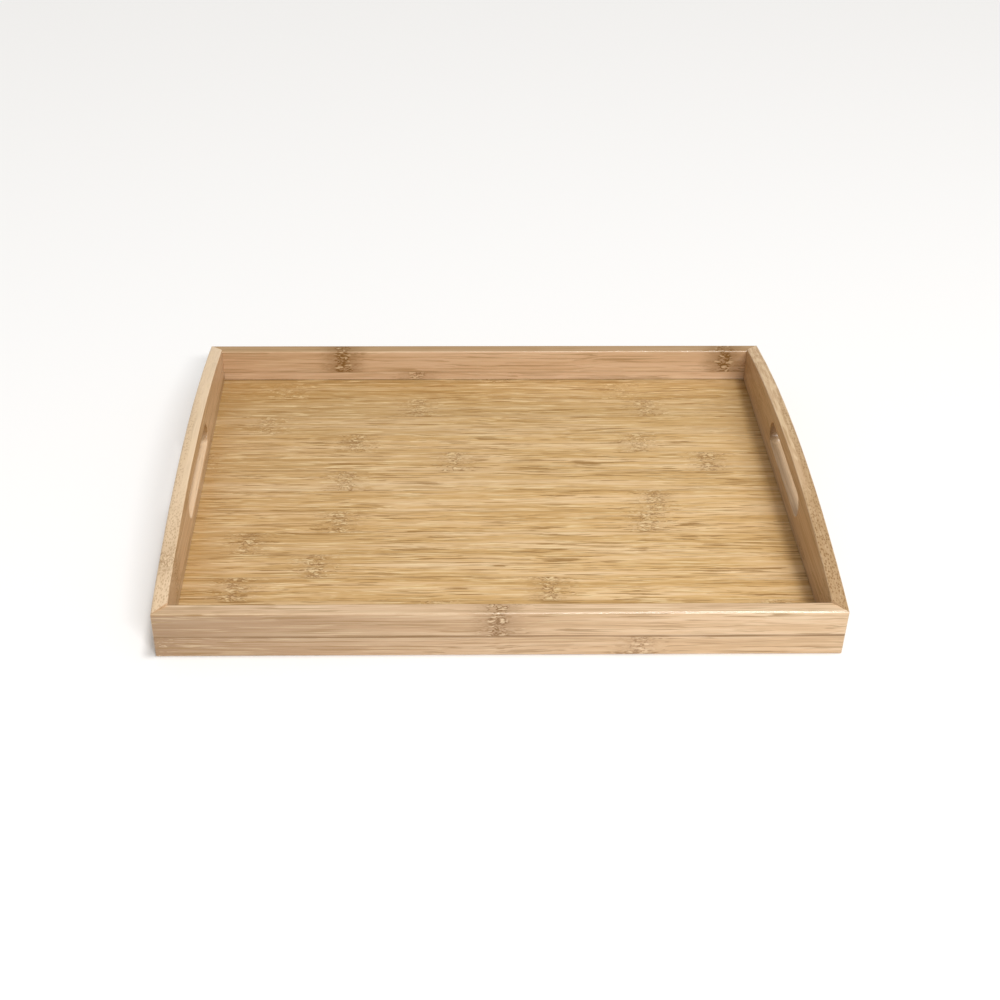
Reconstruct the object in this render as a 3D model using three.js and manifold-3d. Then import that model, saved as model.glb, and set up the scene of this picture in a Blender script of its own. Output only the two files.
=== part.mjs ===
// Bamboo serving tray: two straight long rails and two arched end rails with hand slots, mitred
// together around a floor of edge-glued bamboo strips that sits in grooves.
// Millimetres. +X runs along the long rails, +Y to the back rail, +Z up. The origin is on the
// table, under the middle of the tray.
import * as THREE from 'three';
import { mergeVertices } from 'three/addons/utils/BufferGeometryUtils.js';
import Module from 'manifold-3d';

// Outside of the tray
const TRAY_LENGTH = 420;
const TRAY_DEPTH = 321;
const RAIL_THICKNESS = 9.5;
const RAIL_HEIGHT = 33.3;
const ARCH_RISE = 15.1;
const ARCH_STATIONS = 40;

// Rounding of the rails' long edges and of the tray's upright corners: radius and facets
const OUTER_TOP_EDGE = { radius: 1.6, facets: 3 };
const INNER_TOP_EDGE = { radius: 1, facets: 2 };
const OUTER_FOOT_EDGE = { radius: 1, facets: 2 };
const INNER_FOOT_EDGE = { radius: 0.5, facets: 1 };
const UPRIGHT_CORNER = { radius: 1.2, facets: 3 };

// All rails and the floor are glued up from the same strip stock
const STRIP_WIDTH = 24;
const LOWER_GLUE_LINE = 15.2;
const UPPER_GLUE_LINE = LOWER_GLUE_LINE + STRIP_WIDTH;

// Floor panel and its groove. The panel is trimmed from a wider board, so its back strip is narrow
const FLOOR_TOP = 8.4;
const FLOOR_THICKNESS = 4.4;
const FLOOR_TONGUE = 4.5;
const GROOVE_DEPTH = 5;
const BACK_FLOOR_STRIP_WIDTH = 9.5;

// Hand slot through each end rail, with full-round ends
const SLOT_LENGTH = 100;
const SLOT_HEIGHT = 17;
const SLOT_CENTRE_HEIGHT = 28.5;
const SLOT_END_FACETS = 14;

// Hidden spline across each mitre, standing upright above the floor groove
const SPLINE_WIDTH = 8;
const SPLINE_THICKNESS = 2.4;
const SPLINE_HEIGHT = 18;
const SPLINE_FOOT = 10.5;
const SPLINE_INSET = 5.7; // from both outer faces to the spline's middle
const SPLINE_CLEARANCE = 0.3;

const MITRE_SETBACK = 0.2; // each rail stops this short of the true mitre plane, along its length
const CUT_MARGIN = 2; // cutters run past the faces they cut by this much
const QUARTER_TURN = Math.PI / 2;

const RAIL_BAMBOO = new THREE.MeshStandardMaterial({ color: 0xd3aa78, roughness: 0.5, metalness: 0 });
const FLOOR_BAMBOO = new THREE.MeshStandardMaterial({ color: 0xd0a463, roughness: 0.5, metalness: 0 });
const SPLINE_BAMBOO = new THREE.MeshStandardMaterial({ color: 0xb98b55, roughness: 0.8, metalness: 0 });

const wasm = await Module();
wasm.setup();

// ---- joining and cutting ----

function toSolid(geometry) {
  geometry.deleteAttribute('normal');
  geometry.deleteAttribute('uv');
  const merged = mergeVertices(geometry);
  return new wasm.Manifold(new wasm.Mesh({
    numProp: 3,
    vertProperties: merged.attributes.position.array,
    triVerts: new Uint32Array(merged.index.array),
  }));
}

function toMesh(solid, name, material) {
  const { vertProperties, triVerts } = solid.getMesh();
  const geometry = new THREE.BufferGeometry();
  geometry.setAttribute('position', new THREE.BufferAttribute(vertProperties, 3));
  geometry.setIndex(new THREE.BufferAttribute(triVerts, 1));
  geometry.computeVertexNormals();
  const mesh = new THREE.Mesh(geometry, material);
  mesh.name = name;
  return mesh;
}

// A box between two corners
function boxBetween(low, high) {
  const size = high.map((value, axis) => value - low[axis]);
  const box = new THREE.BoxGeometry(...size);
  box.translate(...low.map((value, axis) => value + size[axis] / 2));
  return box;
}

// ---- rails, each built as the front one: outer face to -Y, length along X ----

// Height that the arch adds at a distance from the middle of an end rail
function archHeight(fromMiddle) {
  const halfChord = TRAY_DEPTH / 2;
  const radius = (halfChord ** 2 + ARCH_RISE ** 2) / (2 * ARCH_RISE);
  return Math.sqrt(radius ** 2 - fromMiddle ** 2) - (radius - ARCH_RISE);
}

// Points of one rounded corner of the section, from startAngle through a quarter turn
function roundedCorner(edge, depth, height, startAngle) {
  const points = [];
  for (let step = 0; step <= edge.facets; step += 1) {
    const angle = startAngle + (QUARTER_TURN * step) / edge.facets;
    points.push([depth + edge.radius * Math.cos(angle), height + edge.radius * Math.sin(angle)]);
  }
  return points;
}

// The rail's section as points [depth in from the outer face, height], anticlockwise
function railSection() {
  const inner = RAIL_THICKNESS;
  const top = RAIL_HEIGHT;
  const { radius: outerTop } = OUTER_TOP_EDGE;
  const { radius: innerTop } = INNER_TOP_EDGE;
  const { radius: outerFoot } = OUTER_FOOT_EDGE;
  const { radius: innerFoot } = INNER_FOOT_EDGE;
  return [
    ...roundedCorner(OUTER_FOOT_EDGE, outerFoot, outerFoot, 2 * QUARTER_TURN),
    ...roundedCorner(INNER_FOOT_EDGE, inner - innerFoot, innerFoot, 3 * QUARTER_TURN),
    ...roundedCorner(INNER_TOP_EDGE, inner - innerTop, top - innerTop, 0),
    ...roundedCorner(OUTER_TOP_EDGE, outerTop, top - outerTop, QUARTER_TURN),
  ];
}

// The whole rail with mitred ends. The section is repeated at stations along the rail, and
// raise(x) lifts its upper edge there.
function railBoard(span, reach, stationCount, raise) {
  const section = railSection();
  const positions = [];
  for (let station = 0; station <= stationCount; station += 1) {
    const along = (2 * station) / stationCount - 1;
    for (const [depth, height] of section) {
      const x = along * (span / 2 - depth - MITRE_SETBACK);
      const lift = height > RAIL_HEIGHT / 2 ? raise(x) : 0;
      positions.push(x, depth - reach, height + lift);
    }
  }
  const index = [];
  const ring = section.length;
  for (let station = 0; station < stationCount; station += 1) {
    for (let point = 0; point < ring; point += 1) {
      const here = station * ring + point;
      const beside = station * ring + ((point + 1) % ring);
      index.push(here, beside, here + ring);
      index.push(beside, beside + ring, here + ring);
    }
  }
  const outline = section.map(([depth, height]) => new THREE.Vector2(depth, height));
  const lastRing = stationCount * ring;
  for (const [a, b, c] of THREE.ShapeUtils.triangulateShape(outline, [])) {
    index.push(a, c, b);
    index.push(lastRing + a, lastRing + b, lastRing + c);
  }
  const geometry = new THREE.BufferGeometry();
  geometry.setAttribute('position', new THREE.Float32BufferAttribute(positions, 3));
  geometry.setIndex(index);
  return toSolid(geometry);
}

// Everything behind the rail's outer face, with the tray's two upright corners rounded
function cornerBlock(span, reach) {
  const { radius, facets } = UPRIGHT_CORNER;
  const side = span / 2;
  const outline = new THREE.Shape();
  outline.moveTo(side, 0);
  outline.lineTo(-side, 0);
  outline.lineTo(-side, radius - reach);
  outline.absarc(radius - side, radius - reach, radius, 2 * QUARTER_TURN, 3 * QUARTER_TURN, false);
  outline.lineTo(side - radius, -reach);
  outline.absarc(side - radius, radius - reach, radius, 3 * QUARTER_TURN, 4 * QUARTER_TURN, false);
  const height = RAIL_HEIGHT + ARCH_RISE + 2 * CUT_MARGIN;
  const block = new THREE.ExtrudeGeometry(outline, {
    depth: height,
    bevelEnabled: false,
    curveSegments: facets,
  });
  block.translate(0, 0, -CUT_MARGIN);
  return toSolid(block);
}

// Groove that holds the floor panel's edge
function grooveCutter(span, reach) {
  const grooveBottom = RAIL_THICKNESS - GROOVE_DEPTH - reach;
  return toSolid(boxBetween(
    [-span / 2, grooveBottom, FLOOR_TOP - FLOOR_THICKNESS],
    [span / 2, RAIL_THICKNESS + CUT_MARGIN - reach, FLOOR_TOP],
  ));
}

// An upright block turned 45 degrees, centred on a mitre
function mitreBlock(width, thickness, height, x, y) {
  const block = new THREE.BoxGeometry(width, thickness, height);
  block.rotateZ((Math.sign(x) * Math.sign(y) * QUARTER_TURN) / -2);
  block.translate(x, y, SPLINE_FOOT + height / 2);
  return block;
}

// Slot for the spline at one end of a rail: side is -1 or 1
function splineSlotCutter(span, reach, side) {
  return toSolid(mitreBlock(
    SPLINE_WIDTH + 2 * SPLINE_CLEARANCE,
    SPLINE_THICKNESS + 2 * SPLINE_CLEARANCE,
    SPLINE_HEIGHT + SPLINE_CLEARANCE,
    side * (span / 2 - SPLINE_INSET),
    SPLINE_INSET - reach,
  ));
}

function handSlotCutter(reach) {
  const radius = SLOT_HEIGHT / 2;
  const straight = SLOT_LENGTH / 2 - radius;
  const outline = new THREE.Shape();
  outline.moveTo(-straight, -radius);
  outline.lineTo(straight, -radius);
  outline.absarc(straight, 0, radius, -QUARTER_TURN, QUARTER_TURN, false);
  outline.lineTo(-straight, radius);
  outline.absarc(-straight, 0, radius, QUARTER_TURN, 3 * QUARTER_TURN, false);
  const depth = RAIL_THICKNESS + 2 * CUT_MARGIN;
  const slot = new THREE.ExtrudeGeometry(outline, {
    depth,
    bevelEnabled: false,
    curveSegments: SLOT_END_FACETS,
  });
  slot.rotateX(QUARTER_TURN);
  slot.translate(0, depth - CUT_MARGIN - reach, SLOT_CENTRE_HEIGHT);
  return toSolid(slot);
}

// The part of a board between two glue lines
function stripOf(board, span, reach, bottom, top) {
  const slab = boxBetween([-span / 2, -reach - CUT_MARGIN, bottom], [span / 2, 0, top]);
  return board.intersect(toSolid(slab));
}

function cutRail(board, span, reach) {
  return board
    .intersect(cornerBlock(span, reach))
    .subtract(grooveCutter(span, reach))
    .subtract(splineSlotCutter(span, reach, -1))
    .subtract(splineSlotCutter(span, reach, 1));
}

function longRail(name, quarterTurns) {
  const reach = TRAY_DEPTH / 2;
  const board = cutRail(railBoard(TRAY_LENGTH, reach, 1, () => 0), TRAY_LENGTH, reach);
  const lower = stripOf(board, TRAY_LENGTH, reach, 0, LOWER_GLUE_LINE);
  const upper = stripOf(board, TRAY_LENGTH, reach, LOWER_GLUE_LINE, RAIL_HEIGHT);
  const rail = new THREE.Group();
  rail.add(toMesh(lower, `${name}_lower_strip`, RAIL_BAMBOO));
  rail.add(toMesh(upper, `${name}_upper_strip`, RAIL_BAMBOO));
  rail.rotation.z = quarterTurns * QUARTER_TURN;
  return rail;
}

function endRail(name, quarterTurns) {
  const reach = TRAY_LENGTH / 2;
  const arched = railBoard(TRAY_DEPTH, reach, ARCH_STATIONS, archHeight);
  const board = cutRail(arched, TRAY_DEPTH, reach).subtract(handSlotCutter(reach));
  const crown = RAIL_HEIGHT + ARCH_RISE;
  const lower = stripOf(board, TRAY_DEPTH, reach, 0, LOWER_GLUE_LINE);
  const middle = stripOf(board, TRAY_DEPTH, reach, LOWER_GLUE_LINE, UPPER_GLUE_LINE);
  const cap = stripOf(board, TRAY_DEPTH, reach, UPPER_GLUE_LINE, crown);
  const rail = new THREE.Group();
  rail.add(toMesh(lower, `${name}_lower_strip`, RAIL_BAMBOO));
  rail.add(toMesh(middle, `${name}_middle_strip`, RAIL_BAMBOO));
  rail.add(toMesh(cap, `${name}_cap_strip`, RAIL_BAMBOO));
  rail.rotation.z = quarterTurns * QUARTER_TURN;
  return rail;
}

// ---- floor and splines ----

// Strips run along X and are laid from the back edge of the panel to the front one
function floorStrips() {
  const floor = new THREE.Group();
  const halfLength = TRAY_LENGTH / 2 - RAIL_THICKNESS + FLOOR_TONGUE;
  const halfDepth = TRAY_DEPTH / 2 - RAIL_THICKNESS + FLOOR_TONGUE;
  let back = halfDepth;
  let width = BACK_FLOOR_STRIP_WIDTH;
  for (let count = 1; back > -halfDepth; count += 1) {
    const front = Math.max(back - width, -halfDepth);
    const strip = new THREE.Mesh(
      boxBetween(
        [-halfLength, front, FLOOR_TOP - FLOOR_THICKNESS],
        [halfLength, back, FLOOR_TOP],
      ),
      FLOOR_BAMBOO,
    );
    strip.name = `floor_strip_${String(count).padStart(2, '0')}`;
    floor.add(strip);
    back = front;
    width = STRIP_WIDTH;
  }
  return floor;
}

function cornerSplines() {
  const splines = new THREE.Group();
  for (const [depthName, sideY] of [['front', -1], ['back', 1]]) {
    for (const [lengthName, sideX] of [['left', -1], ['right', 1]]) {
      const x = sideX * (TRAY_LENGTH / 2 - SPLINE_INSET);
      const y = sideY * (TRAY_DEPTH / 2 - SPLINE_INSET);
      const block = mitreBlock(SPLINE_WIDTH, SPLINE_THICKNESS, SPLINE_HEIGHT, x, y);
      const spline = new THREE.Mesh(block, SPLINE_BAMBOO);
      spline.name = `${depthName}_${lengthName}_corner_spline`;
      splines.add(spline);
    }
  }
  return splines;
}

const tray = new THREE.Group();
tray.add(longRail('front_rail', 0));
tray.add(longRail('back_rail', 2));
tray.add(endRail('right_end', 1));
tray.add(endRail('left_end', -1));
tray.add(floorStrips());
tray.add(cornerSplines());

export default tray;
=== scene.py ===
import itertools
import math
import random
from collections import namedtuple

import bmesh
import bpy
from mathutils import Matrix, Vector


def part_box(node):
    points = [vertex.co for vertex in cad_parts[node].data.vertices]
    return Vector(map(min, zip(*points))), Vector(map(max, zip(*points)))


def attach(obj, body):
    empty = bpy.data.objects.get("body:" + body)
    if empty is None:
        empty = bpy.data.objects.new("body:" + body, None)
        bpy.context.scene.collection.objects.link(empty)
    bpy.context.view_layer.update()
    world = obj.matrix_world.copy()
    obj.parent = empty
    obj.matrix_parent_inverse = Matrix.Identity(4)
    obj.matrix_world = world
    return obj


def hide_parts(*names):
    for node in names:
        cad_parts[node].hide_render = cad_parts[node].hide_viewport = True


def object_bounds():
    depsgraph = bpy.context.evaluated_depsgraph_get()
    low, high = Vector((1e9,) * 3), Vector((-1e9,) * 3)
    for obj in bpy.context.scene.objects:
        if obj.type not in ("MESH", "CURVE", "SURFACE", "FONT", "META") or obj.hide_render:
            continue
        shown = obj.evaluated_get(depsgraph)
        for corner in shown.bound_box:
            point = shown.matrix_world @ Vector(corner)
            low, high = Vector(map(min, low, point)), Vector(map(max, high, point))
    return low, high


# Looks of a bamboo serving tray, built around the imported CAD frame. Metres, +X along the long
# rails, +Y to the back, +Z up. Materials work in millimetres along, across and through a strip.
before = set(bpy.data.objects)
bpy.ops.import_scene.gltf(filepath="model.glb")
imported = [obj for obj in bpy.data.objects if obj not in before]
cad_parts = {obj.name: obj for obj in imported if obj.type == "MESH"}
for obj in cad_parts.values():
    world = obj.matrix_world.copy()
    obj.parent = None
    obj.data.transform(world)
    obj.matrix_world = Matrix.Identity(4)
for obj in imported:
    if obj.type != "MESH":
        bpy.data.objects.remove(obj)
cad_low, cad_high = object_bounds()

MM = 0.001

# ---- sizes read from the frame ----

front_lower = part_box("front_rail_lower_strip")
front_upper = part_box("front_rail_upper_strip")
end_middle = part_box("left_end_middle_strip")
back_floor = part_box("floor_strip_01")
SPAN_X = cad_high.x - cad_low.x
SPAN_Y = cad_high.y - cad_low.y
CROWN_HEIGHT = cad_high.z
RAIL_HEIGHT = front_upper[1].z
RAIL_THICKNESS = front_lower[1].y - front_lower[0].y
LOWER_GLUE_LINE = front_lower[1].z
UPPER_GLUE_LINE = end_middle[1].z
FLOOR_UNDERSIDE = back_floor[0].z
FLOOR_TOP = back_floor[1].z
ARCH_RISE = CROWN_HEIGHT - RAIL_HEIGHT
ARCH_RADIUS = ((SPAN_Y / 2) ** 2 + ARCH_RISE**2) / (2 * ARCH_RISE)

# ---- sizes of the finish ----

# Rounding of the rails' long edges and of the tray's upright corners
OUTER_TOP_EDGE = 1.6 * MM
INNER_TOP_EDGE = 1.0 * MM
OUTER_FOOT_EDGE = 1.1 * MM
INNER_FOOT_EDGE = 0.5 * MM
CORNER_RADIUS = 1.2 * MM
EDGE_STEPS = 8
ARCH_STATIONS = 64
# Fine gaps: at the mitres, between glued strips, and round the floor
MITRE_SETBACK = 0.06 * MM
GLUE_GAP = 0.03 * MM
FLOOR_SEAM = 0.35 * MM
GROOVE_DEPTH = 5 * MM
SLOT_LENGTH = 100 * MM
SLOT_HEIGHT = 17 * MM
SLOT_CENTRE_HEIGHT = 28.5 * MM
SLOT_EDGE = 1.2 * MM
SLOT_END_STEPS = 20
SPLINE_SLOT = Vector((8.6, 3.0, 18.3)) * MM
SPLINE_FOOT = 10.5 * MM
SPLINE_INSET = 5.7 * MM
CUT_MARGIN = 2 * MM  # cutters run past the faces they cut by this much
SMOOTH_ANGLE = math.radians(30)
QUARTER_TURN = math.pi / 2

# ---- meshes ----


def new_piece(name, bm):
    """A mesh object from a bmesh, with its faces pointing out."""
    bmesh.ops.recalc_face_normals(bm, faces=bm.faces)
    mesh = bpy.data.meshes.new(name)
    bm.to_mesh(mesh)
    bm.free()
    piece = bpy.data.objects.new(name, mesh)
    bpy.context.collection.objects.link(piece)
    return piece


def loft(rings):
    """A closed bmesh through rings of points, capped at both ends."""
    bm = bmesh.new()
    loops = [[bm.verts.new(point) for point in ring] for ring in rings]
    count = len(loops[0])
    for near, far in zip(loops, loops[1:]):
        for i in range(count):
            j = (i + 1) % count
            bm.faces.new((near[i], near[j], far[j], far[i]))
    bm.faces.new(loops[0])
    bm.faces.new(loops[-1])
    return bm


def box_between(low, high):
    """A box bmesh between two corners."""
    bm = bmesh.new()
    bmesh.ops.create_cube(bm, size=1)
    size = Vector(high) - Vector(low)
    bmesh.ops.scale(bm, vec=size, verts=bm.verts)
    bmesh.ops.translate(bm, vec=Vector(low) + size / 2, verts=bm.verts)
    return bm


def arch_lift(from_middle):
    """How far the arch stands above the corner height at a distance from the rail's middle."""
    return math.sqrt(ARCH_RADIUS**2 - from_middle**2) - (ARCH_RADIUS - ARCH_RISE)


def rounded_corner(radius, depth, height, start):
    """Points of a quarter circle of the rail's section."""
    turns = [start + QUARTER_TURN * step / EDGE_STEPS for step in range(EDGE_STEPS + 1)]
    return [(depth + radius * math.cos(a), height + radius * math.sin(a)) for a in turns]


def rail_section():
    """The rail's section as (depth in from the outer face, height), anticlockwise."""
    inner, top = RAIL_THICKNESS, RAIL_HEIGHT
    return (
        rounded_corner(OUTER_FOOT_EDGE, OUTER_FOOT_EDGE, OUTER_FOOT_EDGE, 2 * QUARTER_TURN)
        + rounded_corner(INNER_FOOT_EDGE, inner - INNER_FOOT_EDGE, INNER_FOOT_EDGE, 3 * QUARTER_TURN)
        + rounded_corner(INNER_TOP_EDGE, inner - INNER_TOP_EDGE, top - INNER_TOP_EDGE, 0)
        + rounded_corner(OUTER_TOP_EDGE, OUTER_TOP_EDGE, top - OUTER_TOP_EDGE, QUARTER_TURN)
    )


def rail_board(name, span, reach, stations, arched):
    """A whole rail, outer face to -Y, with mitred ends and, on an end rail, its arched top."""
    rings = []
    for station in range(stations + 1):
        along = 2 * station / stations - 1
        ring = []
        for depth, height in rail_section():
            x = along * (span / 2 - depth - MITRE_SETBACK)
            lift = arch_lift(x) if arched and height > RAIL_HEIGHT / 2 else 0
            ring.append((x, depth - reach, height + lift))
        rings.append(ring)
    return new_piece(name, loft(rings))


def cut(piece, cutter, operation="DIFFERENCE"):
    """Takes the cutter's solid out of the piece, or keeps what is inside it, and discards it."""
    boolean = piece.modifiers.new("cut", "BOOLEAN")
    boolean.operation = operation
    boolean.solver = "EXACT"
    boolean.object = cutter
    graph = bpy.context.evaluated_depsgraph_get()
    whole = piece.data
    piece.data = bpy.data.meshes.new_from_object(piece.evaluated_get(graph))
    piece.modifiers.clear()
    bpy.data.meshes.remove(whole)
    bpy.data.objects.remove(cutter)


def corner_block(span, reach):
    """A block as large as the tray on one side, with its two outer upright edges rounded."""
    outline = [(-span / 2, 0), (span / 2, 0)]
    for side in (1, -1):
        for step in range(EDGE_STEPS + 1):
            angle = QUARTER_TURN * step / EDGE_STEPS
            turn = angle if side > 0 else QUARTER_TURN - angle
            x = side * (span / 2 - CORNER_RADIUS + CORNER_RADIUS * math.cos(turn))
            outline.append((x, CORNER_RADIUS * (1 - math.sin(turn)) - reach))
    top = CROWN_HEIGHT + CUT_MARGIN
    rings = [[(x, y, z) for x, y in outline] for z in (-CUT_MARGIN, top)]
    return new_piece("corner_block", loft(rings))


def groove_cutter(span, reach):
    """The groove that the floor panel sits in, a little higher than the panel."""
    low = (-span / 2, RAIL_THICKNESS - GROOVE_DEPTH - reach, FLOOR_UNDERSIDE)
    high = (span / 2, RAIL_THICKNESS + CUT_MARGIN - reach, FLOOR_TOP + FLOOR_SEAM)
    return new_piece("groove_cutter", box_between(low, high))


def spline_slot_cutter(span, reach, side):
    """The slot for the spline across one mitre; side is -1 or 1."""
    bm = box_between(-SPLINE_SLOT / 2, SPLINE_SLOT / 2)
    bm.transform(Matrix.Rotation(side * math.pi / 4, 4, "Z"))
    x = side * (span / 2 - SPLINE_INSET)
    middle = Vector((x, SPLINE_INSET - reach, SPLINE_FOOT + SPLINE_SLOT.z / 2))
    bmesh.ops.translate(bm, vec=middle, verts=bm.verts)
    return new_piece("spline_slot_cutter", bm)


def slot_ring(y, spread):
    """The hand slot's outline at one depth, widened all round by spread."""
    radius = SLOT_HEIGHT / 2
    straight = SLOT_LENGTH / 2 - radius
    ring = []
    for side in (1, -1):
        for step in range(SLOT_END_STEPS + 1):
            angle = math.pi * step / SLOT_END_STEPS - side * QUARTER_TURN
            x = side * straight + (radius + spread) * math.cos(angle)
            ring.append((x, y, SLOT_CENTRE_HEIGHT + (radius + spread) * math.sin(angle)))
    return ring


def hand_slot_cutter(reach):
    """The hand slot's solid, flared at both faces so that it leaves rounded edges."""
    flare = []
    for step in range(EDGE_STEPS + 1):
        angle = QUARTER_TURN * step / EDGE_STEPS
        flare.append((SLOT_EDGE * (1 - math.cos(angle)), SLOT_EDGE * (1 - math.sin(angle))))
    profile = [(-CUT_MARGIN, SLOT_EDGE)] + flare
    profile += [(RAIL_THICKNESS - depth, spread) for depth, spread in reversed(profile)]
    rings = [slot_ring(depth - reach, spread) for depth, spread in profile]
    return new_piece("hand_slot_cutter", loft(rings))


def strip_between(board, name, bottom, top):
    """A copy of the board between two heights, closed where it is cut."""
    bm = bmesh.new()
    bm.from_mesh(board.data)
    for height, facing in ((bottom, -1), (top, 1)):
        everything = bm.verts[:] + bm.edges[:] + bm.faces[:]
        result = bmesh.ops.bisect_plane(
            bm, geom=everything, plane_co=(0, 0, height), plane_no=(0, 0, facing), clear_outer=True
        )
        rim = [item for item in result["geom_cut"] if isinstance(item, bmesh.types.BMEdge)]
        if rim:
            bmesh.ops.triangle_fill(bm, use_beauty=True, edges=rim)
    return new_piece(name, bm)


def finish_shading(piece):
    """Smooth rounded edges, with the flat faces kept flat."""
    mesh = piece.data
    mesh.polygons.foreach_set("use_smooth", [True] * len(mesh.polygons))
    mesh.set_sharp_from_angle(angle=SMOOTH_ANGLE)
    weighted = piece.modifiers.new("flat_faces", "WEIGHTED_NORMAL")
    weighted.keep_sharp = True


def rail_pieces(name, quarter_turns, arched, layers):
    """The strips of one rail. layers gives each strip's name and its lower and upper glue line."""
    span, reach = (SPAN_Y, SPAN_X / 2) if arched else (SPAN_X, SPAN_Y / 2)
    board = rail_board(f"{name}_board", span, reach, ARCH_STATIONS if arched else 1, arched)
    cut(board, corner_block(span, reach), "INTERSECT")
    cut(board, groove_cutter(span, reach))
    for side in (-1, 1):
        cut(board, spline_slot_cutter(span, reach, side))
    if arched:
        cut(board, hand_slot_cutter(reach))
    turn = Matrix.Rotation(quarter_turns * QUARTER_TURN, 4, "Z")
    pieces = []
    for layer, bottom, top in layers:
        piece = strip_between(board, f"{name}_{layer}_bamboo", bottom + GLUE_GAP / 2, top - GLUE_GAP / 2)
        piece.data.transform(turn)
        finish_shading(piece)
        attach(piece, "root")
        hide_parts(f"{name}_{layer}_strip")
        pieces.append(piece)
    bpy.data.objects.remove(board)
    return pieces


# ---- shader helpers: each returns an output socket ----


def feed(tree, socket, value):
    """Links an output socket to an input, or sets a fixed value on it."""
    if isinstance(value, bpy.types.NodeSocket):
        tree.links.new(value, socket)
    else:
        socket.default_value = value


def calc(tree, operation, *values):
    node = tree.nodes.new("ShaderNodeMath")
    node.operation = operation
    for socket, value in zip(node.inputs, values):
        feed(tree, socket, value)
    return node.outputs[0]


def vector_calc(tree, operation, *values):
    node = tree.nodes.new("ShaderNodeVectorMath")
    node.operation = operation
    for socket, value in zip(node.inputs, values):
        feed(tree, socket, value)
    return node.outputs["Vector"]


def product(tree, first, *others):
    """Several masks or numbers multiplied together."""
    result = first
    for other in others:
        result = calc(tree, "MULTIPLY", result, other)
    return result


def combine(tree, x, y, z):
    node = tree.nodes.new("ShaderNodeCombineXYZ")
    for socket, value in zip(node.inputs, (x, y, z)):
        feed(tree, socket, value)
    return node.outputs[0]


def split(tree, vector):
    node = tree.nodes.new("ShaderNodeSeparateXYZ")
    feed(tree, node.inputs[0], vector)
    return node.outputs


def ease(tree, value, start, end, low=0.0, high=1.0):
    """Smooth step of value from low at start to high at end."""
    node = tree.nodes.new("ShaderNodeMapRange")
    node.interpolation_type = "SMOOTHSTEP"
    for key, number in zip(
        ("Value", "From Min", "From Max", "To Min", "To Max"), (value, start, end, low, high)
    ):
        feed(tree, node.inputs[key], number)
    return node.outputs["Result"]


def noise(tree, point, stretch, detail=2.0, rough=0.5):
    """Noise whose features are about stretch mm long, wide and deep."""
    node = tree.nodes.new("ShaderNodeTexNoise")
    scale = tuple(1 / size for size in stretch)
    feed(tree, node.inputs["Vector"], vector_calc(tree, "MULTIPLY", point, scale))
    node.inputs["Scale"].default_value = 1
    node.inputs["Detail"].default_value = detail
    node.inputs["Roughness"].default_value = rough
    return node.outputs["Fac"]


def cells(tree, point, stretch):
    """Distance to the middle of the nearest cell, for cells about stretch mm in size."""
    node = tree.nodes.new("ShaderNodeTexVoronoi")
    scale = tuple(1 / size for size in stretch)
    feed(tree, node.inputs["Vector"], vector_calc(tree, "MULTIPLY", point, scale))
    node.inputs["Scale"].default_value = 1
    return node.outputs["Distance"]


def ramp(tree, value, stops):
    """Colour along a list of (place, colour) stops."""
    node = tree.nodes.new("ShaderNodeValToRGB")
    elements = node.color_ramp.elements
    for place, _ in stops[len(elements) :]:
        elements.new(place)
    for element, (place, colour) in zip(elements, stops):
        element.position = place
        element.color = (*colour, 1)
    feed(tree, node.inputs["Fac"], value)
    return node.outputs["Color"]


# The colour sockets of a Mix node, which has others of the same names
MIX_COLOUR_A = 6
MIX_COLOUR_B = 7
MIX_COLOUR_RESULT = 2


def blend(tree, amount, first, second, mode="MIX"):
    """Two colours put together by amount."""
    node = tree.nodes.new("ShaderNodeMix")
    node.data_type = "RGBA"
    node.blend_type = mode
    feed(tree, node.inputs["Factor"], amount)
    feed(tree, node.inputs[MIX_COLOUR_A], first)
    feed(tree, node.inputs[MIX_COLOUR_B], second)
    return node.outputs[MIX_COLOUR_RESULT]


def paint(tree, colour, mask, strength, tone):
    """The colour, with a tone laid over it where the mask is set."""
    return blend(tree, calc(tree, "MULTIPLY", mask, strength), colour, (*tone, 1))


def linear(hex_colour):
    """Scene-linear colour from a usual rrggbb one."""
    channels = [int(hex_colour[i : i + 2], 16) / 255 for i in (0, 2, 4)]
    return tuple(c / 12.92 if c <= 0.04045 else ((c + 0.055) / 1.055) ** 2.4 for c in channels)


# ---- bamboo ----
# Sizes and places are in mm. Three of them are a feature's size along, across and through a strip.
# Two are a window: the value of a noise, place, height or slope at which something starts to show,
# and the value at which it shows in full.

# From the darkest ground to the palest, then the dark and the pale fibre lines, then the nodes
FLOOR_TONES = ("b99156", "cca66c", "d6b382", "debf93")
RAIL_TONES = ("b49067", "c7a37a", "d1af89", "dbbe99")
FLOOR_LINES = ("987036", "eed6a6")
RAIL_LINES = ("987440", "ead0a8")
FLOOR_NODE = "8a6230"
RAIL_NODE = "80581e"
FLOOR_FIBRE_LENGTH = 34
RAIL_FIBRE_LENGTH = 75
GLUE_BROWN = linear("7f5a20")
# The cream of worn edges and of paler tops, also painted light on the hand slots' sills
WEAR_AND_LIGHT_CREAM = linear("f3dcbc")

NOISE_MIDDLE = 0.5
SMOOTH = 1  # the detail of a noise with no fine grain of its own
TONE_PLACES = (0.36, 0.46, 0.54, 0.64)
BANDS = (150, 5, 5)
BAND_SHARE = 0.6
FINE_FIBRES = (16, 0.45, 0.45)
FINE_FIBRE_SHARE = 0.3
SWAY = (80, 20, 20)
SWAY_SHIFT = 5
CURL = (9, 5, 5)
CURL_SHIFT = 6
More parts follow.
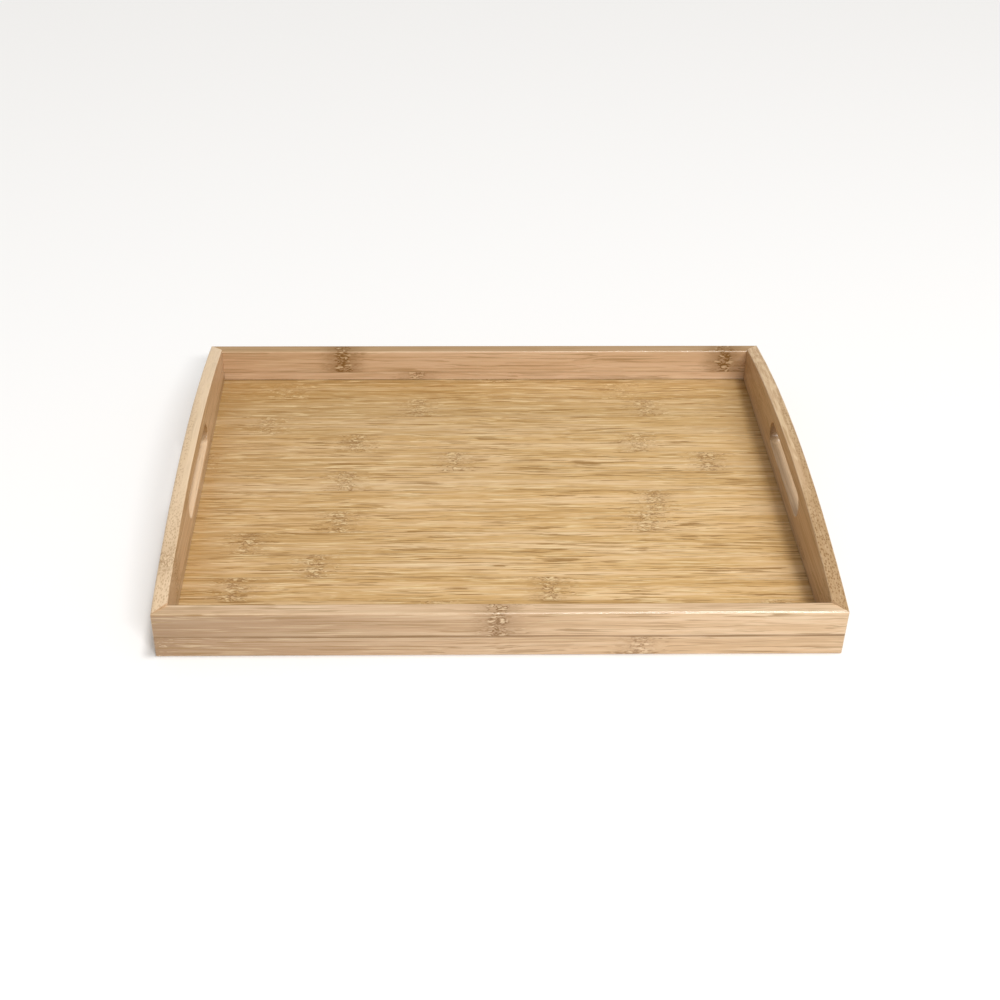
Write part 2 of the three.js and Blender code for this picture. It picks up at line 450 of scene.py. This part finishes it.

# A strip's own tone. A darker strip is warmer, so its blue falls fastest. Over it lies a painted
# light falloff: painted shade darkens a strip towards its left end and painted light lightens it
# towards its right, over the falloff length from its middle; it stops at the falloff end and is
# weaker on tops.
LIFT_SPREAD = (0.97, 1.03)
WARMTH_SPREAD = (-0.03, 0.03)
LIFT_RED_POWER = 0.9
LIFT_BLUE_POWER = 1.4
FALLOFF_GREEN_POWER = 1.2
FALLOFF_BLUE_POWER = 1.4
FALLOFF_LENGTH = 200
FALLOFF_END = 100
TOP_FALLOFF = 0.4

LINE_GROUPS = (60, 9, 9)
LINE_GROUP_WINDOW = (0.38, 0.6)
LEAST_LINE_GROUP = 0.4
DARK_LINE_WIDTH = 1.15
DARK_LINE_WINDOW = (0.54, 0.59)
DARK_LINE_STRENGTH = 0.9
PALE_LINE_WIDTH = 1.1
PALE_LINE_WINDOW = (0.57, 0.63)
PALE_LINE_STRENGTH = 0.6
LINE_ROUGHNESS = 0.6

# Painted shade towards the ends of the floor: where it starts and where it is full
END_SHADE_PLACES = (165, 200)
OUTER_SIDE = (1.0, 4.0)
OUTER_SIDE_STRENGTH = 0.3

# Faces that look up, and the heights at which they are a rail's top or a hand slot's sill
LEVEL = (0.5, 0.8)
TOP_HEIGHTS = (30, 32)
SILL_START_HEIGHTS = (16, 18)
SILL_END_HEIGHTS = (28, 24)
# Painted light on a hand slot's sill, and painted shade on the end grain at its ends
SILL_PAINTED_LIGHT = 0.3
SLOT_REACH = (70, 60)
END_GRAIN_FACING = (0.25, 0.8)
END_GRAIN_SHADE_STRENGTH = 0.75

STREAKS = (26, 2.4, 2.4)
STREAK_WINDOW = (0.48, 0.6)
STREAK_STRENGTH = 0.5
STREAK_PLACE = (-90, -10)
DOTS = (2.6, 1.2, 1.2)
DOT_WINDOW = (0.5, 0.25)
DOT_STRENGTH = 0.7
DOT_HAZE = 0.42
DOTTED_FRONT = (-20, -100)
DOTTED_BACK_END = (100, 20)
DOTTED_OUTER_SIDE = (-1.5, 1.0)
DOTTED_OUTER_STRENGTH = 0.8

NODE_OUTLINE = (40, 3, 3)
NODE_UNEVENNESS = 9
NODE_CORE = (11.5, 8.5)
NODE_SURROUNDINGS = (27, 9)
NODE_HAZE = 0.17
NODE_MARKS = (5.5, 1.9, 1.9)
MARK_WIDTH = 0.035
MARK_WIDENING = 0.02
MARK_CORE = 1 / 3
MARK_DARKNESS = 0.6
MOST_MARK_DARKNESS = 0.95
GLEAM_WINDOW = (0.44, 0.36)
GLEAM_STRENGTH = 0.45
MOST_GLEAM = 0.55

GLUE_BREAKS = (45, 8, 8)
GLUE_BREAK_WINDOW = (0.3, 0.6)
LEAST_GLUE = 0.35
GLUE_FACING = (0.9, 0.5)
GLUE_WIDTH = (1.3, 0.3)

EDGE_TURN = (0.97, 0.78)
EDGE_WEAR = (18, 8, 8)
EDGE_WEAR_DETAIL = 3
EDGE_WEAR_WINDOW = (0.35, 0.65)
EDGE_WEAR_STRENGTH = 0.22

GROUND_ROUGHNESS = 0.38
FIBRE_ROUGHNESS = 0.16
MARK_ROUGHNESS = 0.12
RUBBED_ROUGHNESS = -0.2
COAT_ROUGHNESS = 0.16
FIBRE_RELIEF = 0.7
LINE_RELIEF = -0.4
DOT_RELIEF = -0.4
MARK_RELIEF = -0.5
RELIEF_HEIGHT = 0.08 * MM
RELIEF_STRENGTH = 0.6

# A kind of bamboo: its tones, its fibre lines' tones, its nodes' brown, its fibre lines' length, its
# contrast, how much lacquer it has, and how much painted shade darkens it, more golden, towards
# the ends of the floor
Look = namedtuple("Look", "tones lines node fibre_length contrast coat pooling")
# One strip: where its bamboo's nodes come and how strong they are, how light it is, how strongly a
# painted light falloff darkens it towards its left end and lightens it towards its right, how dotted
# its top is, and how much paler its top is painted, or, where below 0, how much painted shade
# darkens its top
Strip = namedtuple(
    "Strip", "node_place node_spacing node_strength lightness drift dots bleach", defaults=(0, 0, 0)
)
# How a strip lies: the world axes along, across and through it, which way is outward through it
# (1 or -1), and where the distance outward is counted from, in mm: a rail's middle or the floor's top
Lay = namedtuple("Lay", "axes outward zero")
FLOOR_AXES = (0, 1, 2)
LONG_RAIL_AXES = (0, 2, 1)
END_RAIL_AXES = (1, 2, 0)
HOME_RANGE = 5000
# What a strip's bamboo is drawn with. home is the strip's place in the noise and axes its world
# axes. The rest are sockets: the places along, across and outward and the height, in mm, the point
# in the noise, that point as the fibres sway, how much it belongs to a node or is near one, and
# how its surface is turned.
Grain = namedtuple(
    "Grain", "home axes along across outward height point swayed at_node near_node facing"
)


def bamboo_nodes(tree, along, point, strip):
    """How much a point is in one of the bamboo's evenly spaced nodes, and how much near one."""
    off = calc(tree, "SUBTRACT", along, strip.node_place)
    wrapped = calc(tree, "WRAP", off, strip.node_spacing / 2, -strip.node_spacing / 2)
    distance = calc(tree, "ABSOLUTE", wrapped)
    outline = noise(tree, point, NODE_OUTLINE, SMOOTH)
    reach = calc(tree, "MULTIPLY_ADD", outline, NODE_UNEVENNESS, distance)
    return ease(tree, reach, *NODE_CORE), ease(tree, reach, *NODE_SURROUNDINGS)


def sway_fibres(tree, point, near_node):
    """The point shifted across the strip: fibres sway gently, and curl round the nodes."""
    sway = calc(tree, "SUBTRACT", noise(tree, point, SWAY, SMOOTH), NOISE_MIDDLE)
    curl = calc(tree, "SUBTRACT", noise(tree, point, CURL), NOISE_MIDDLE)
    shift = product(tree, curl, near_node, CURL_SHIFT)
    shift = calc(tree, "MULTIPLY_ADD", sway, SWAY_SHIFT, shift)
    return vector_calc(tree, "ADD", point, combine(tree, 0, shift, shift))


def find_grain(tree, lay, strip, home):
    """The coordinates that a strip's bamboo is drawn in."""
    where = tree.nodes.new("ShaderNodeTexCoord").outputs["Object"]
    in_mm = split(tree, vector_calc(tree, "MULTIPLY", where, (1 / MM, 1 / MM, 1 / MM)))
    along, across, through = (in_mm[axis] for axis in lay.axes)
    through = calc(tree, "MULTIPLY", through, lay.outward)
    point = vector_calc(tree, "ADD", combine(tree, along, across, through), home)
    at_node, near_node = bamboo_nodes(tree, along, point, strip)
    normal = tree.nodes.new("ShaderNodeNewGeometry").outputs["Normal"]
    return Grain(
        home=home,
        axes=lay.axes,
        along=along,
        across=across,
        outward=calc(tree, "SUBTRACT", through, lay.zero),
        height=in_mm[2],
        point=point,
        swayed=sway_fibres(tree, point, near_node),
        at_node=at_node,
        near_node=near_node,
        facing=split(tree, vector_calc(tree, "ABSOLUTE", normal)),
    )


def ground_colour(tree, grain, look, fine):
    """Smooth ground with soft bands and very fine fibres."""
    bands = noise(tree, grain.swayed, BANDS)
    figure = calc(tree, "MULTIPLY", bands, BAND_SHARE * look.contrast)
    figure = calc(tree, "MULTIPLY_ADD", fine, FINE_FIBRE_SHARE * look.contrast, figure)
    shares = BAND_SHARE + FINE_FIBRE_SHARE
    figure = calc(tree, "ADD", figure, NOISE_MIDDLE * (1 - shares * look.contrast))
    stops = [(place, linear(tone)) for place, tone in zip(TONE_PLACES, look.tones)]
    return ramp(tree, figure, stops)


def tint_and_shade_strip(tree, colour, grain, strip, chance):
    """The strip's own tone, with painted shade towards its left end and painted light towards its right,
    less so on its top.
    """
    lift = strip.lightness * chance.uniform(*LIFT_SPREAD)
    warmth = chance.uniform(*WARMTH_SPREAD)
    red = lift**LIFT_RED_POWER * (1 + warmth / 2)
    blue = lift**LIFT_BLUE_POWER * (1 - warmth)
    reach = calc(tree, "MINIMUM", grain.along, FALLOFF_END)
    drift = calc(tree, "MULTIPLY", reach, strip.drift / FALLOFF_LENGTH)
    drift = calc(tree, "MULTIPLY_ADD", drift, ease(tree, grain.facing[2], *LEVEL, 1, TOP_FALLOFF), 1)
    falloff_green = calc(tree, "POWER", drift, FALLOFF_GREEN_POWER)
    falloff_blue = calc(tree, "POWER", drift, FALLOFF_BLUE_POWER)
    falloff_tone = combine(tree, drift, falloff_green, falloff_blue)
    tint = vector_calc(tree, "MULTIPLY", (red, lift, blue), falloff_tone)
    return blend(tree, 1, colour, tint, "MULTIPLY")


def fibre_lines(tree, grain, look):
    """Thin dark and pale fibre lines. The dark ones are gathered in groups."""
    dark_size = (look.fibre_length, DARK_LINE_WIDTH, DARK_LINE_WIDTH)
    pale_size = (look.fibre_length, PALE_LINE_WIDTH, PALE_LINE_WIDTH)
    dark_noise = noise(tree, grain.swayed, dark_size, rough=LINE_ROUGHNESS)
    elsewhere = vector_calc(tree, "ADD", grain.swayed, grain.home)
    pale_noise = noise(tree, elsewhere, pale_size, rough=LINE_ROUGHNESS)
    group_noise = noise(tree, grain.point, LINE_GROUPS)
    groups = ease(tree, group_noise, *LINE_GROUP_WINDOW, LEAST_LINE_GROUP, 1)
    dark = product(tree, ease(tree, dark_noise, *DARK_LINE_WINDOW), groups, look.contrast)
    pale = product(tree, ease(tree, pale_noise, *PALE_LINE_WINDOW), look.contrast)
    return dark, pale


def find_top(tree, grain):
    """Where a surface is the top of a rail."""
    return product(tree, ease(tree, grain.facing[2], *LEVEL), ease(tree, grain.height, *TOP_HEIGHTS))


def find_dotted(tree, grain, strip, on_top):
    """Where cut fibre ends show on an arched top: at its front, and along its outer side but for
    the back end."""
    outer_side = ease(tree, grain.outward, *DOTTED_OUTER_SIDE)
    outer = product(tree, outer_side, ease(tree, grain.along, *DOTTED_BACK_END))
    front = ease(tree, grain.along, *DOTTED_FRONT)
    dotted = calc(tree, "MAXIMUM", front, calc(tree, "MULTIPLY", outer, DOTTED_OUTER_STRENGTH))
    return product(tree, dotted, on_top, strip.dots)


def find_streaks(tree, grain, strip, on_top):
    """Pale streaks on the arched top, behind its dotted front."""
    streaks = ease(tree, noise(tree, grain.swayed, STREAKS), *STREAK_WINDOW)
    place = ease(tree, grain.along, *STREAK_PLACE)
    return product(tree, streaks, on_top, strip.dots, place)


def paint_nodes(tree, colour, grain, strip, node_brown, pale_tone):
    """A brown haze crossed by short curly marks, dark and pale. Returns the dark marks too."""
    pattern = noise(tree, grain.swayed, NODE_MARKS)
    off_line = calc(tree, "ABSOLUTE", calc(tree, "SUBTRACT", pattern, NOISE_MIDDLE))
    width = MARK_WIDTH + MARK_WIDENING * strip.node_strength
    marks = product(tree, ease(tree, off_line, width, width * MARK_CORE), grain.at_node)
    gleams = product(tree, ease(tree, pattern, *GLEAM_WINDOW), grain.at_node)
    gleam_strength = min(GLEAM_STRENGTH * strip.node_strength, MOST_GLEAM)
    mark_strength = min(MARK_DARKNESS * strip.node_strength, MOST_MARK_DARKNESS)
    colour = paint(tree, colour, grain.near_node, NODE_HAZE * strip.node_strength, node_brown)
    colour = paint(tree, colour, gleams, gleam_strength, pale_tone)
    colour = paint(tree, colour, marks, mark_strength, node_brown)
    return colour, marks


def paint_hand_slot_light_and_shade(tree, colour, grain, node_brown):
    """In a hand slot, painted light makes the sill paler, and the end grain at both ends is darker,
    deepened with painted shade.
    """
    above_start = ease(tree, grain.height, *SILL_START_HEIGHTS)
    below_end = ease(tree, grain.height, *SILL_END_HEIGHTS)
    sill = product(tree, ease(tree, grain.facing[2], *LEVEL), above_start, below_end)
    in_slot = ease(tree, calc(tree, "ABSOLUTE", grain.along), *SLOT_REACH)
    end_grain_shade = product(tree, ease(tree, grain.facing[grain.axes[0]], *END_GRAIN_FACING), in_slot)
    colour = paint(tree, colour, sill, SILL_PAINTED_LIGHT, WEAR_AND_LIGHT_CREAM)
    return paint(tree, colour, end_grain_shade, END_GRAIN_SHADE_STRENGTH, node_brown)


def paint_glue_lines(tree, colour, grain, glue_lines):
    """Glue lines, broken up along their length, on faces that cross the glued joint."""
    breaks = ease(tree, noise(tree, grain.point, GLUE_BREAKS), *GLUE_BREAK_WINDOW, LEAST_GLUE, 1)
    crossing = ease(tree, grain.facing[grain.axes[1]], *GLUE_FACING)
    for place, strength in glue_lines:
        gap = calc(tree, "ABSOLUTE", calc(tree, "SUBTRACT", grain.across, place))
        line = product(tree, ease(tree, gap, *GLUE_WIDTH), breaks, crossing)
        colour = paint(tree, colour, line, strength, GLUE_BROWN)
    return colour


def find_rubbed_edges(tree, grain):
    """Rubbed edges: where the surface turns away from all three axes."""
    flatness = calc(tree, "MAXIMUM", grain.facing[0], grain.facing[1])
    flatness = calc(tree, "MAXIMUM", flatness, grain.facing[2])
    wear_noise = noise(tree, grain.point, EDGE_WEAR, EDGE_WEAR_DETAIL)
    return product(tree, ease(tree, flatness, *EDGE_TURN), ease(tree, wear_noise, *EDGE_WEAR_WINDOW))


def add_up(tree, terms, start=0):
    """Start plus the sum of (socket, share) terms."""
    total = start
    for value, share in terms:
        total = calc(tree, "MULTIPLY_ADD", value, share, total)
    return total


def lacquer(tree, shader, coat, fine, dark_lines, dots, marks, rubbed):
    """Satin lacquer over the grain's fine relief."""
    roughness = ((fine, FIBRE_ROUGHNESS), (marks, MARK_ROUGHNESS), (rubbed, RUBBED_ROUGHNESS))
    feed(tree, shader.inputs["Roughness"], add_up(tree, roughness, GROUND_ROUGHNESS))
    shader.inputs["Coat Weight"].default_value = coat
    shader.inputs["Coat Roughness"].default_value = COAT_ROUGHNESS
    relief = (
        (fine, FIBRE_RELIEF),
        (dark_lines, LINE_RELIEF),
        (dots, DOT_RELIEF),
        (marks, MARK_RELIEF),
    )
    bump = tree.nodes.new("ShaderNodeBump")
    bump.inputs["Distance"].default_value = RELIEF_HEIGHT
    bump.inputs["Strength"].default_value = RELIEF_STRENGTH
    feed(tree, bump.inputs["Height"], add_up(tree, relief))
    feed(tree, shader.inputs["Normal"], bump.outputs["Normal"])


def bamboo(name, look, strip, lay, glue_lines, seed):
    """Laminated bamboo for one strip: fibres in the solid, nodes, glue lines and worn edges, with
    painted light and shade over them.
    """
    chance = random.Random(seed)
    material = bpy.data.materials.new(name)
    material.use_nodes = True
    tree = material.node_tree
    shader = tree.nodes["Principled BSDF"]
    dark_tone, pale_tone = (linear(tone) for tone in look.lines)
    node_brown = linear(look.node)
    # Each strip has a place of its own in the noise
    home = [chance.uniform(-HOME_RANGE, HOME_RANGE) for _ in range(3)]
    grain = find_grain(tree, lay, strip, home)

    fine = noise(tree, grain.swayed, FINE_FIBRES)
    colour = ground_colour(tree, grain, look, fine)
    colour = tint_and_shade_strip(tree, colour, grain, strip, chance)
    dark_lines, pale_lines = fibre_lines(tree, grain, look)
    colour = paint(tree, colour, pale_lines, PALE_LINE_STRENGTH, pale_tone)
    colour = paint(tree, colour, dark_lines, DARK_LINE_STRENGTH, dark_tone)

    # Painted shade: darker and more golden towards the ends of the floor, next to the end rails
    end_shade_mask = ease(tree, calc(tree, "ABSOLUTE", grain.along), *END_SHADE_PLACES)
    colour = paint(tree, colour, end_shade_mask, look.pooling, dark_tone)
    # Browner towards each rail's outer side
    outer_side_brown = ease(tree, grain.outward, *OUTER_SIDE)
    colour = paint(tree, colour, outer_side_brown, OUTER_SIDE_STRENGTH, dark_tone)

    # An arched top cuts across fibre bundles, so their ends show as dots
    on_top = find_top(tree, grain)
    # Tops are painted paler, towards cream; where the setting is below 0, as on the back rail, painted
    # shade darkens the top instead
    top_tone = WEAR_AND_LIGHT_CREAM if strip.bleach > 0 else dark_tone
    colour = paint(tree, colour, on_top, abs(strip.bleach), top_tone)
    streaks = find_streaks(tree, grain, strip, on_top)
    colour = paint(tree, colour, streaks, STREAK_STRENGTH, pale_tone)
    dotted = find_dotted(tree, grain, strip, on_top)
    dots = product(tree, ease(tree, cells(tree, grain.point, DOTS), *DOT_WINDOW), dotted)
    colour = paint(tree, colour, dotted, DOT_HAZE, dark_tone)
    colour = paint(tree, colour, dots, DOT_STRENGTH, node_brown)

    colour, marks = paint_nodes(tree, colour, grain, strip, node_brown, pale_tone)
    colour = paint_hand_slot_light_and_shade(tree, colour, grain, node_brown)
    colour = paint_glue_lines(tree, colour, grain, glue_lines)
    rubbed = find_rubbed_edges(tree, grain)
    colour = paint(tree, colour, rubbed, EDGE_WEAR_STRENGTH, WEAR_AND_LIGHT_CREAM)
    feed(tree, shader.inputs["Base Color"], colour)
    lacquer(tree, shader, look.coat, fine, dark_lines, dots, marks, rubbed)
    return material


def give_material(piece, material):
    """Gives every material slot of a piece the one material."""
    if not piece.material_slots:
        piece.data.materials.append(material)
    for material_slot in piece.material_slots:
        material_slot.material = material


# ---- camera, light and stage ----

CAMERA_PLACE = Vector((-0.0421, -0.8686, 0.6240))
CAMERA_PITCH = math.radians(-35.6)
CAMERA_YAW = math.radians(-1.12)
CAMERA_ROLL = math.radians(0.49)
CAMERA_LENS = 55.3
CAMERA_SHIFT = 0.045

# A warm even sky, a sun from above, and a long narrow softbox far in front on the right
SKY_COLOUR = (1, 0.965, 0.92, 1)
SKY_STRENGTH = 0.42
SUN_PLACE = (0.22, 0, 1)
SUN_STRENGTH = 1.25
SUN_SPREAD = math.radians(12)
KEY_PLACE = (0.75, -2.3, 1.9)
KEY_WIDTH = 1.3
KEY_HEIGHT = 0.3
KEY_POWER = 50
STAGE_SIZE = 40
STAGE_COLOUR = (0.93, 0.93, 0.93, 1)
STAGE_ROUGHNESS = 0.9


def add_camera():
    """The photograph's viewing angle."""
    data = bpy.data.cameras.new("camera")
    data.lens = CAMERA_LENS
    data.shift_x = CAMERA_SHIFT
    camera = bpy.data.objects.new("camera", data)
    turn = Matrix.Rotation(CAMERA_YAW, 4, "Z") @ Matrix.Rotation(QUARTER_TURN + CAMERA_PITCH, 4, "X")
    camera.matrix_world = Matrix.Translation(CAMERA_PLACE) @ turn @ Matrix.Rotation(CAMERA_ROLL, 4, "Z")
    bpy.context.collection.objects.link(camera)
    bpy.context.scene.camera = camera


def place_lamp(data, place):
    """Puts a light where it shines at the middle of the tray."""
    lamp = bpy.data.objects.new(data.name, data)
    lamp.location = place
    lamp.rotation_euler = (-Vector(place)).to_track_quat("-Z", "Y").to_euler()
    lamp.visible_camera = False
    bpy.context.collection.objects.link(lamp)


def add_key():
    data = bpy.data.lights.new("key", "AREA")
    data.shape = "RECTANGLE"
    data.size = KEY_WIDTH
    data.size_y = KEY_HEIGHT
    data.energy = KEY_POWER
    place_lamp(data, KEY_PLACE)


def add_sun():
    data = bpy.data.lights.new("overhead", "SUN")
    data.energy = SUN_STRENGTH
    data.angle = SUN_SPREAD
    place_lamp(data, SUN_PLACE)


def add_sky():
    world = bpy.data.worlds.new("studio")
    world.use_nodes = True
    background = world.node_tree.nodes["Background"]
    background.inputs["Color"].default_value = SKY_COLOUR
    background.inputs["Strength"].default_value = SKY_STRENGTH
    bpy.context.scene.world = world


def add_stage():
    """A plain pale floor."""
    bm = bmesh.new()
    bmesh.ops.create_grid(bm, size=STAGE_SIZE, x_segments=1, y_segments=1)
    stage = new_piece("stage_floor", bm)
    material = bpy.data.materials.new("pale_floor")
    material.use_nodes = True
    shader = material.node_tree.nodes["Principled BSDF"]
    shader.inputs["Base Color"].default_value = STAGE_COLOUR
    shader.inputs["Roughness"].default_value = STAGE_ROUGHNESS
    give_material(stage, material)


# ---- the tray ----

# The planes between which each strip of a rail lies. BELOW and ABOVE are well clear of the tray.
BELOW = -1
ABOVE = 1
LONG_LAYERS = (("lower", BELOW, LOWER_GLUE_LINE), ("upper", LOWER_GLUE_LINE, ABOVE))
END_LAYERS = (
    ("lower", BELOW, LOWER_GLUE_LINE),
    ("middle", LOWER_GLUE_LINE, UPPER_GLUE_LINE),
    ("cap", UPPER_GLUE_LINE, ABOVE),
)
# A rail: its quarter turns from the front, how strongly its glue lines show, how much its tones
# differ, how much lacquer it has, and its strips from the bottom up
Rail = namedtuple("Rail", "quarter_turns glue_strength contrast coat strips")
RAILS = {
    # The front rail carries a strong painted light falloff: painted shade towards its left end
    "front_rail": Rail(0, glue_strength=0.9, contrast=0.9, coat=1.0, strips=(
        Strip(85, 300, 1.0, 1.08, drift=0.42),
        Strip(-2, 240, 2.0, 1.08, drift=0.46, bleach=0.15),
    )),
    # The back rail is painted lighter, painted light on its inner face, and its top is darkened with
    # painted shade
    "back_rail": Rail(2, glue_strength=0.3, contrast=0.6, coat=0.5, strips=(
        Strip(-52, 272, 1.3, 1.22, drift=0.06),
        Strip(-109, 293, 3.0, 1.22, drift=0.06, bleach=-0.65),
    )),
    # The right end rail's darker strips are partly its own tone, partly painted shade on its inner face
    "right_end": Rail(1, glue_strength=0.2, contrast=0.6, coat=0.2, strips=(
        Strip(-70, 260, 0.3, 0.88),
        Strip(95, 240, 0.3, 0.9, dots=1, bleach=0.1),
        Strip(-150, 290, 0.5, 0.88, dots=1, bleach=0.1),
    )),
    "left_end": Rail(-1, glue_strength=0.2, contrast=0.7, coat=0.3, strips=(
        Strip(60, 280, 0.3, 0.9),
        Strip(-116, 330, 0.8, 1.14, dots=0.5, bleach=0.6),
        Strip(-116, 330, 0.8, 1.0, dots=0.5, bleach=0.6),
    )),
}

# Painted light falloff along the floor strips
FLOOR_PAINTED_FALLOFF = 0.28
# Floor strips from back to front: node place, node spacing, node strength and lightness. The back
# strips' lower lightness is painted shade along the back rail.
FLOOR_STRIPS = (
    (10, 240, 0.2, 0.7),
    (-150, 252, 0.2, 0.76),
    (-51, 171, 0.9, 0.83),
    (-162, 400, 0.7, 0.9),
    (-95, 204, 0.9, 0.98),
    (-25, 181, 1.1, 1.0),
    (-101, 330, 1.0, 1.03),
    (113, 340, 1.0, 1.03),
    (-104, 209, 1.1, 1.01),
    (-163, 380, 1.1, 1.01),
    (-117, 360, 1.2, 1.01),
    (-167, 201, 1.2, 1.01),
    (-40, 215, 0.8, 1.02),
    (-110, 230, 0.7, 1.03),
)
FLOOR_LOOK = Look(
    FLOOR_TONES, FLOOR_LINES, FLOOR_NODE, FLOOR_FIBRE_LENGTH, contrast=1.0, coat=0.4, pooling=0.25
)
FLOOR_GLUE_STRENGTH = 0.18

SPLINE_STRIP = Strip(0, 900, 0, 0.8)
SPLINE_LOOK = Look(
    RAIL_TONES, RAIL_LINES, RAIL_NODE, RAIL_FIBRE_LENGTH, contrast=0.8, coat=0.3, pooling=0
)
SPLINE_LAY = Lay(END_RAIL_AXES, 1, 0)
FIRST_SEED = 101


def build_rail(name, rail, seeds):
    """One rail's detailed strips, each in its own bamboo."""
    arched = name.endswith("end")
    reach = SPAN_X / 2 if arched else SPAN_Y / 2
    outward = 1 if rail.quarter_turns in (1, 2) else -1
    middle = (reach - RAIL_THICKNESS / 2) / MM
    lay = Lay(END_RAIL_AXES if arched else LONG_RAIL_AXES, outward, middle)
    look = Look(
        RAIL_TONES, RAIL_LINES, RAIL_NODE, RAIL_FIBRE_LENGTH, rail.contrast, rail.coat, pooling=0
    )
    glue = [(height / MM, rail.glue_strength) for height in (LOWER_GLUE_LINE, UPPER_GLUE_LINE)]
    pieces = rail_pieces(name, rail.quarter_turns, arched, END_LAYERS if arched else LONG_LAYERS)
    for piece, strip in zip(pieces, rail.strips):
        material = bamboo(f"{piece.name}_finish", look, strip, lay, glue, next(seeds))
        give_material(piece, material)


def finish_floor(seeds):
    """Bamboo for the floor strips, with a faint glue line along both sides of each."""
    for count, numbers in enumerate(FLOOR_STRIPS, 1):
        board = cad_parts[f"floor_strip_{count:02d}"]
        low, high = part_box(board.name)
        glue = [(side / MM, FLOOR_GLUE_STRENGTH) for side in (low.y, high.y)]
        strip = Strip(*numbers, drift=FLOOR_PAINTED_FALLOFF)
        lay = Lay(FLOOR_AXES, 1, high.z / MM)
        material = bamboo(f"{board.name}_finish", FLOOR_LOOK, strip, lay, glue, next(seeds))
        give_material(board, material)


def finish_splines(seeds):
    """Plain bamboo, with no nodes, for the splines hidden in the corners."""
    for corner in ("front_left", "front_right", "back_left", "back_right"):
        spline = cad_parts[f"{corner}_corner_spline"]
        name = f"{spline.name}_finish"
        material = bamboo(name, SPLINE_LOOK, SPLINE_STRIP, SPLINE_LAY, (), next(seeds))
        give_material(spline, material)


add_camera()
add_sky()
add_sun()
add_key()
add_stage()
bpy.context.scene.view_settings.view_transform = "Standard"

material_seeds = itertools.count(FIRST_SEED)
for rail_name, rail in RAILS.items():
    build_rail(rail_name, rail, material_seeds)
finish_floor(material_seeds)
finish_splines(material_seeds)
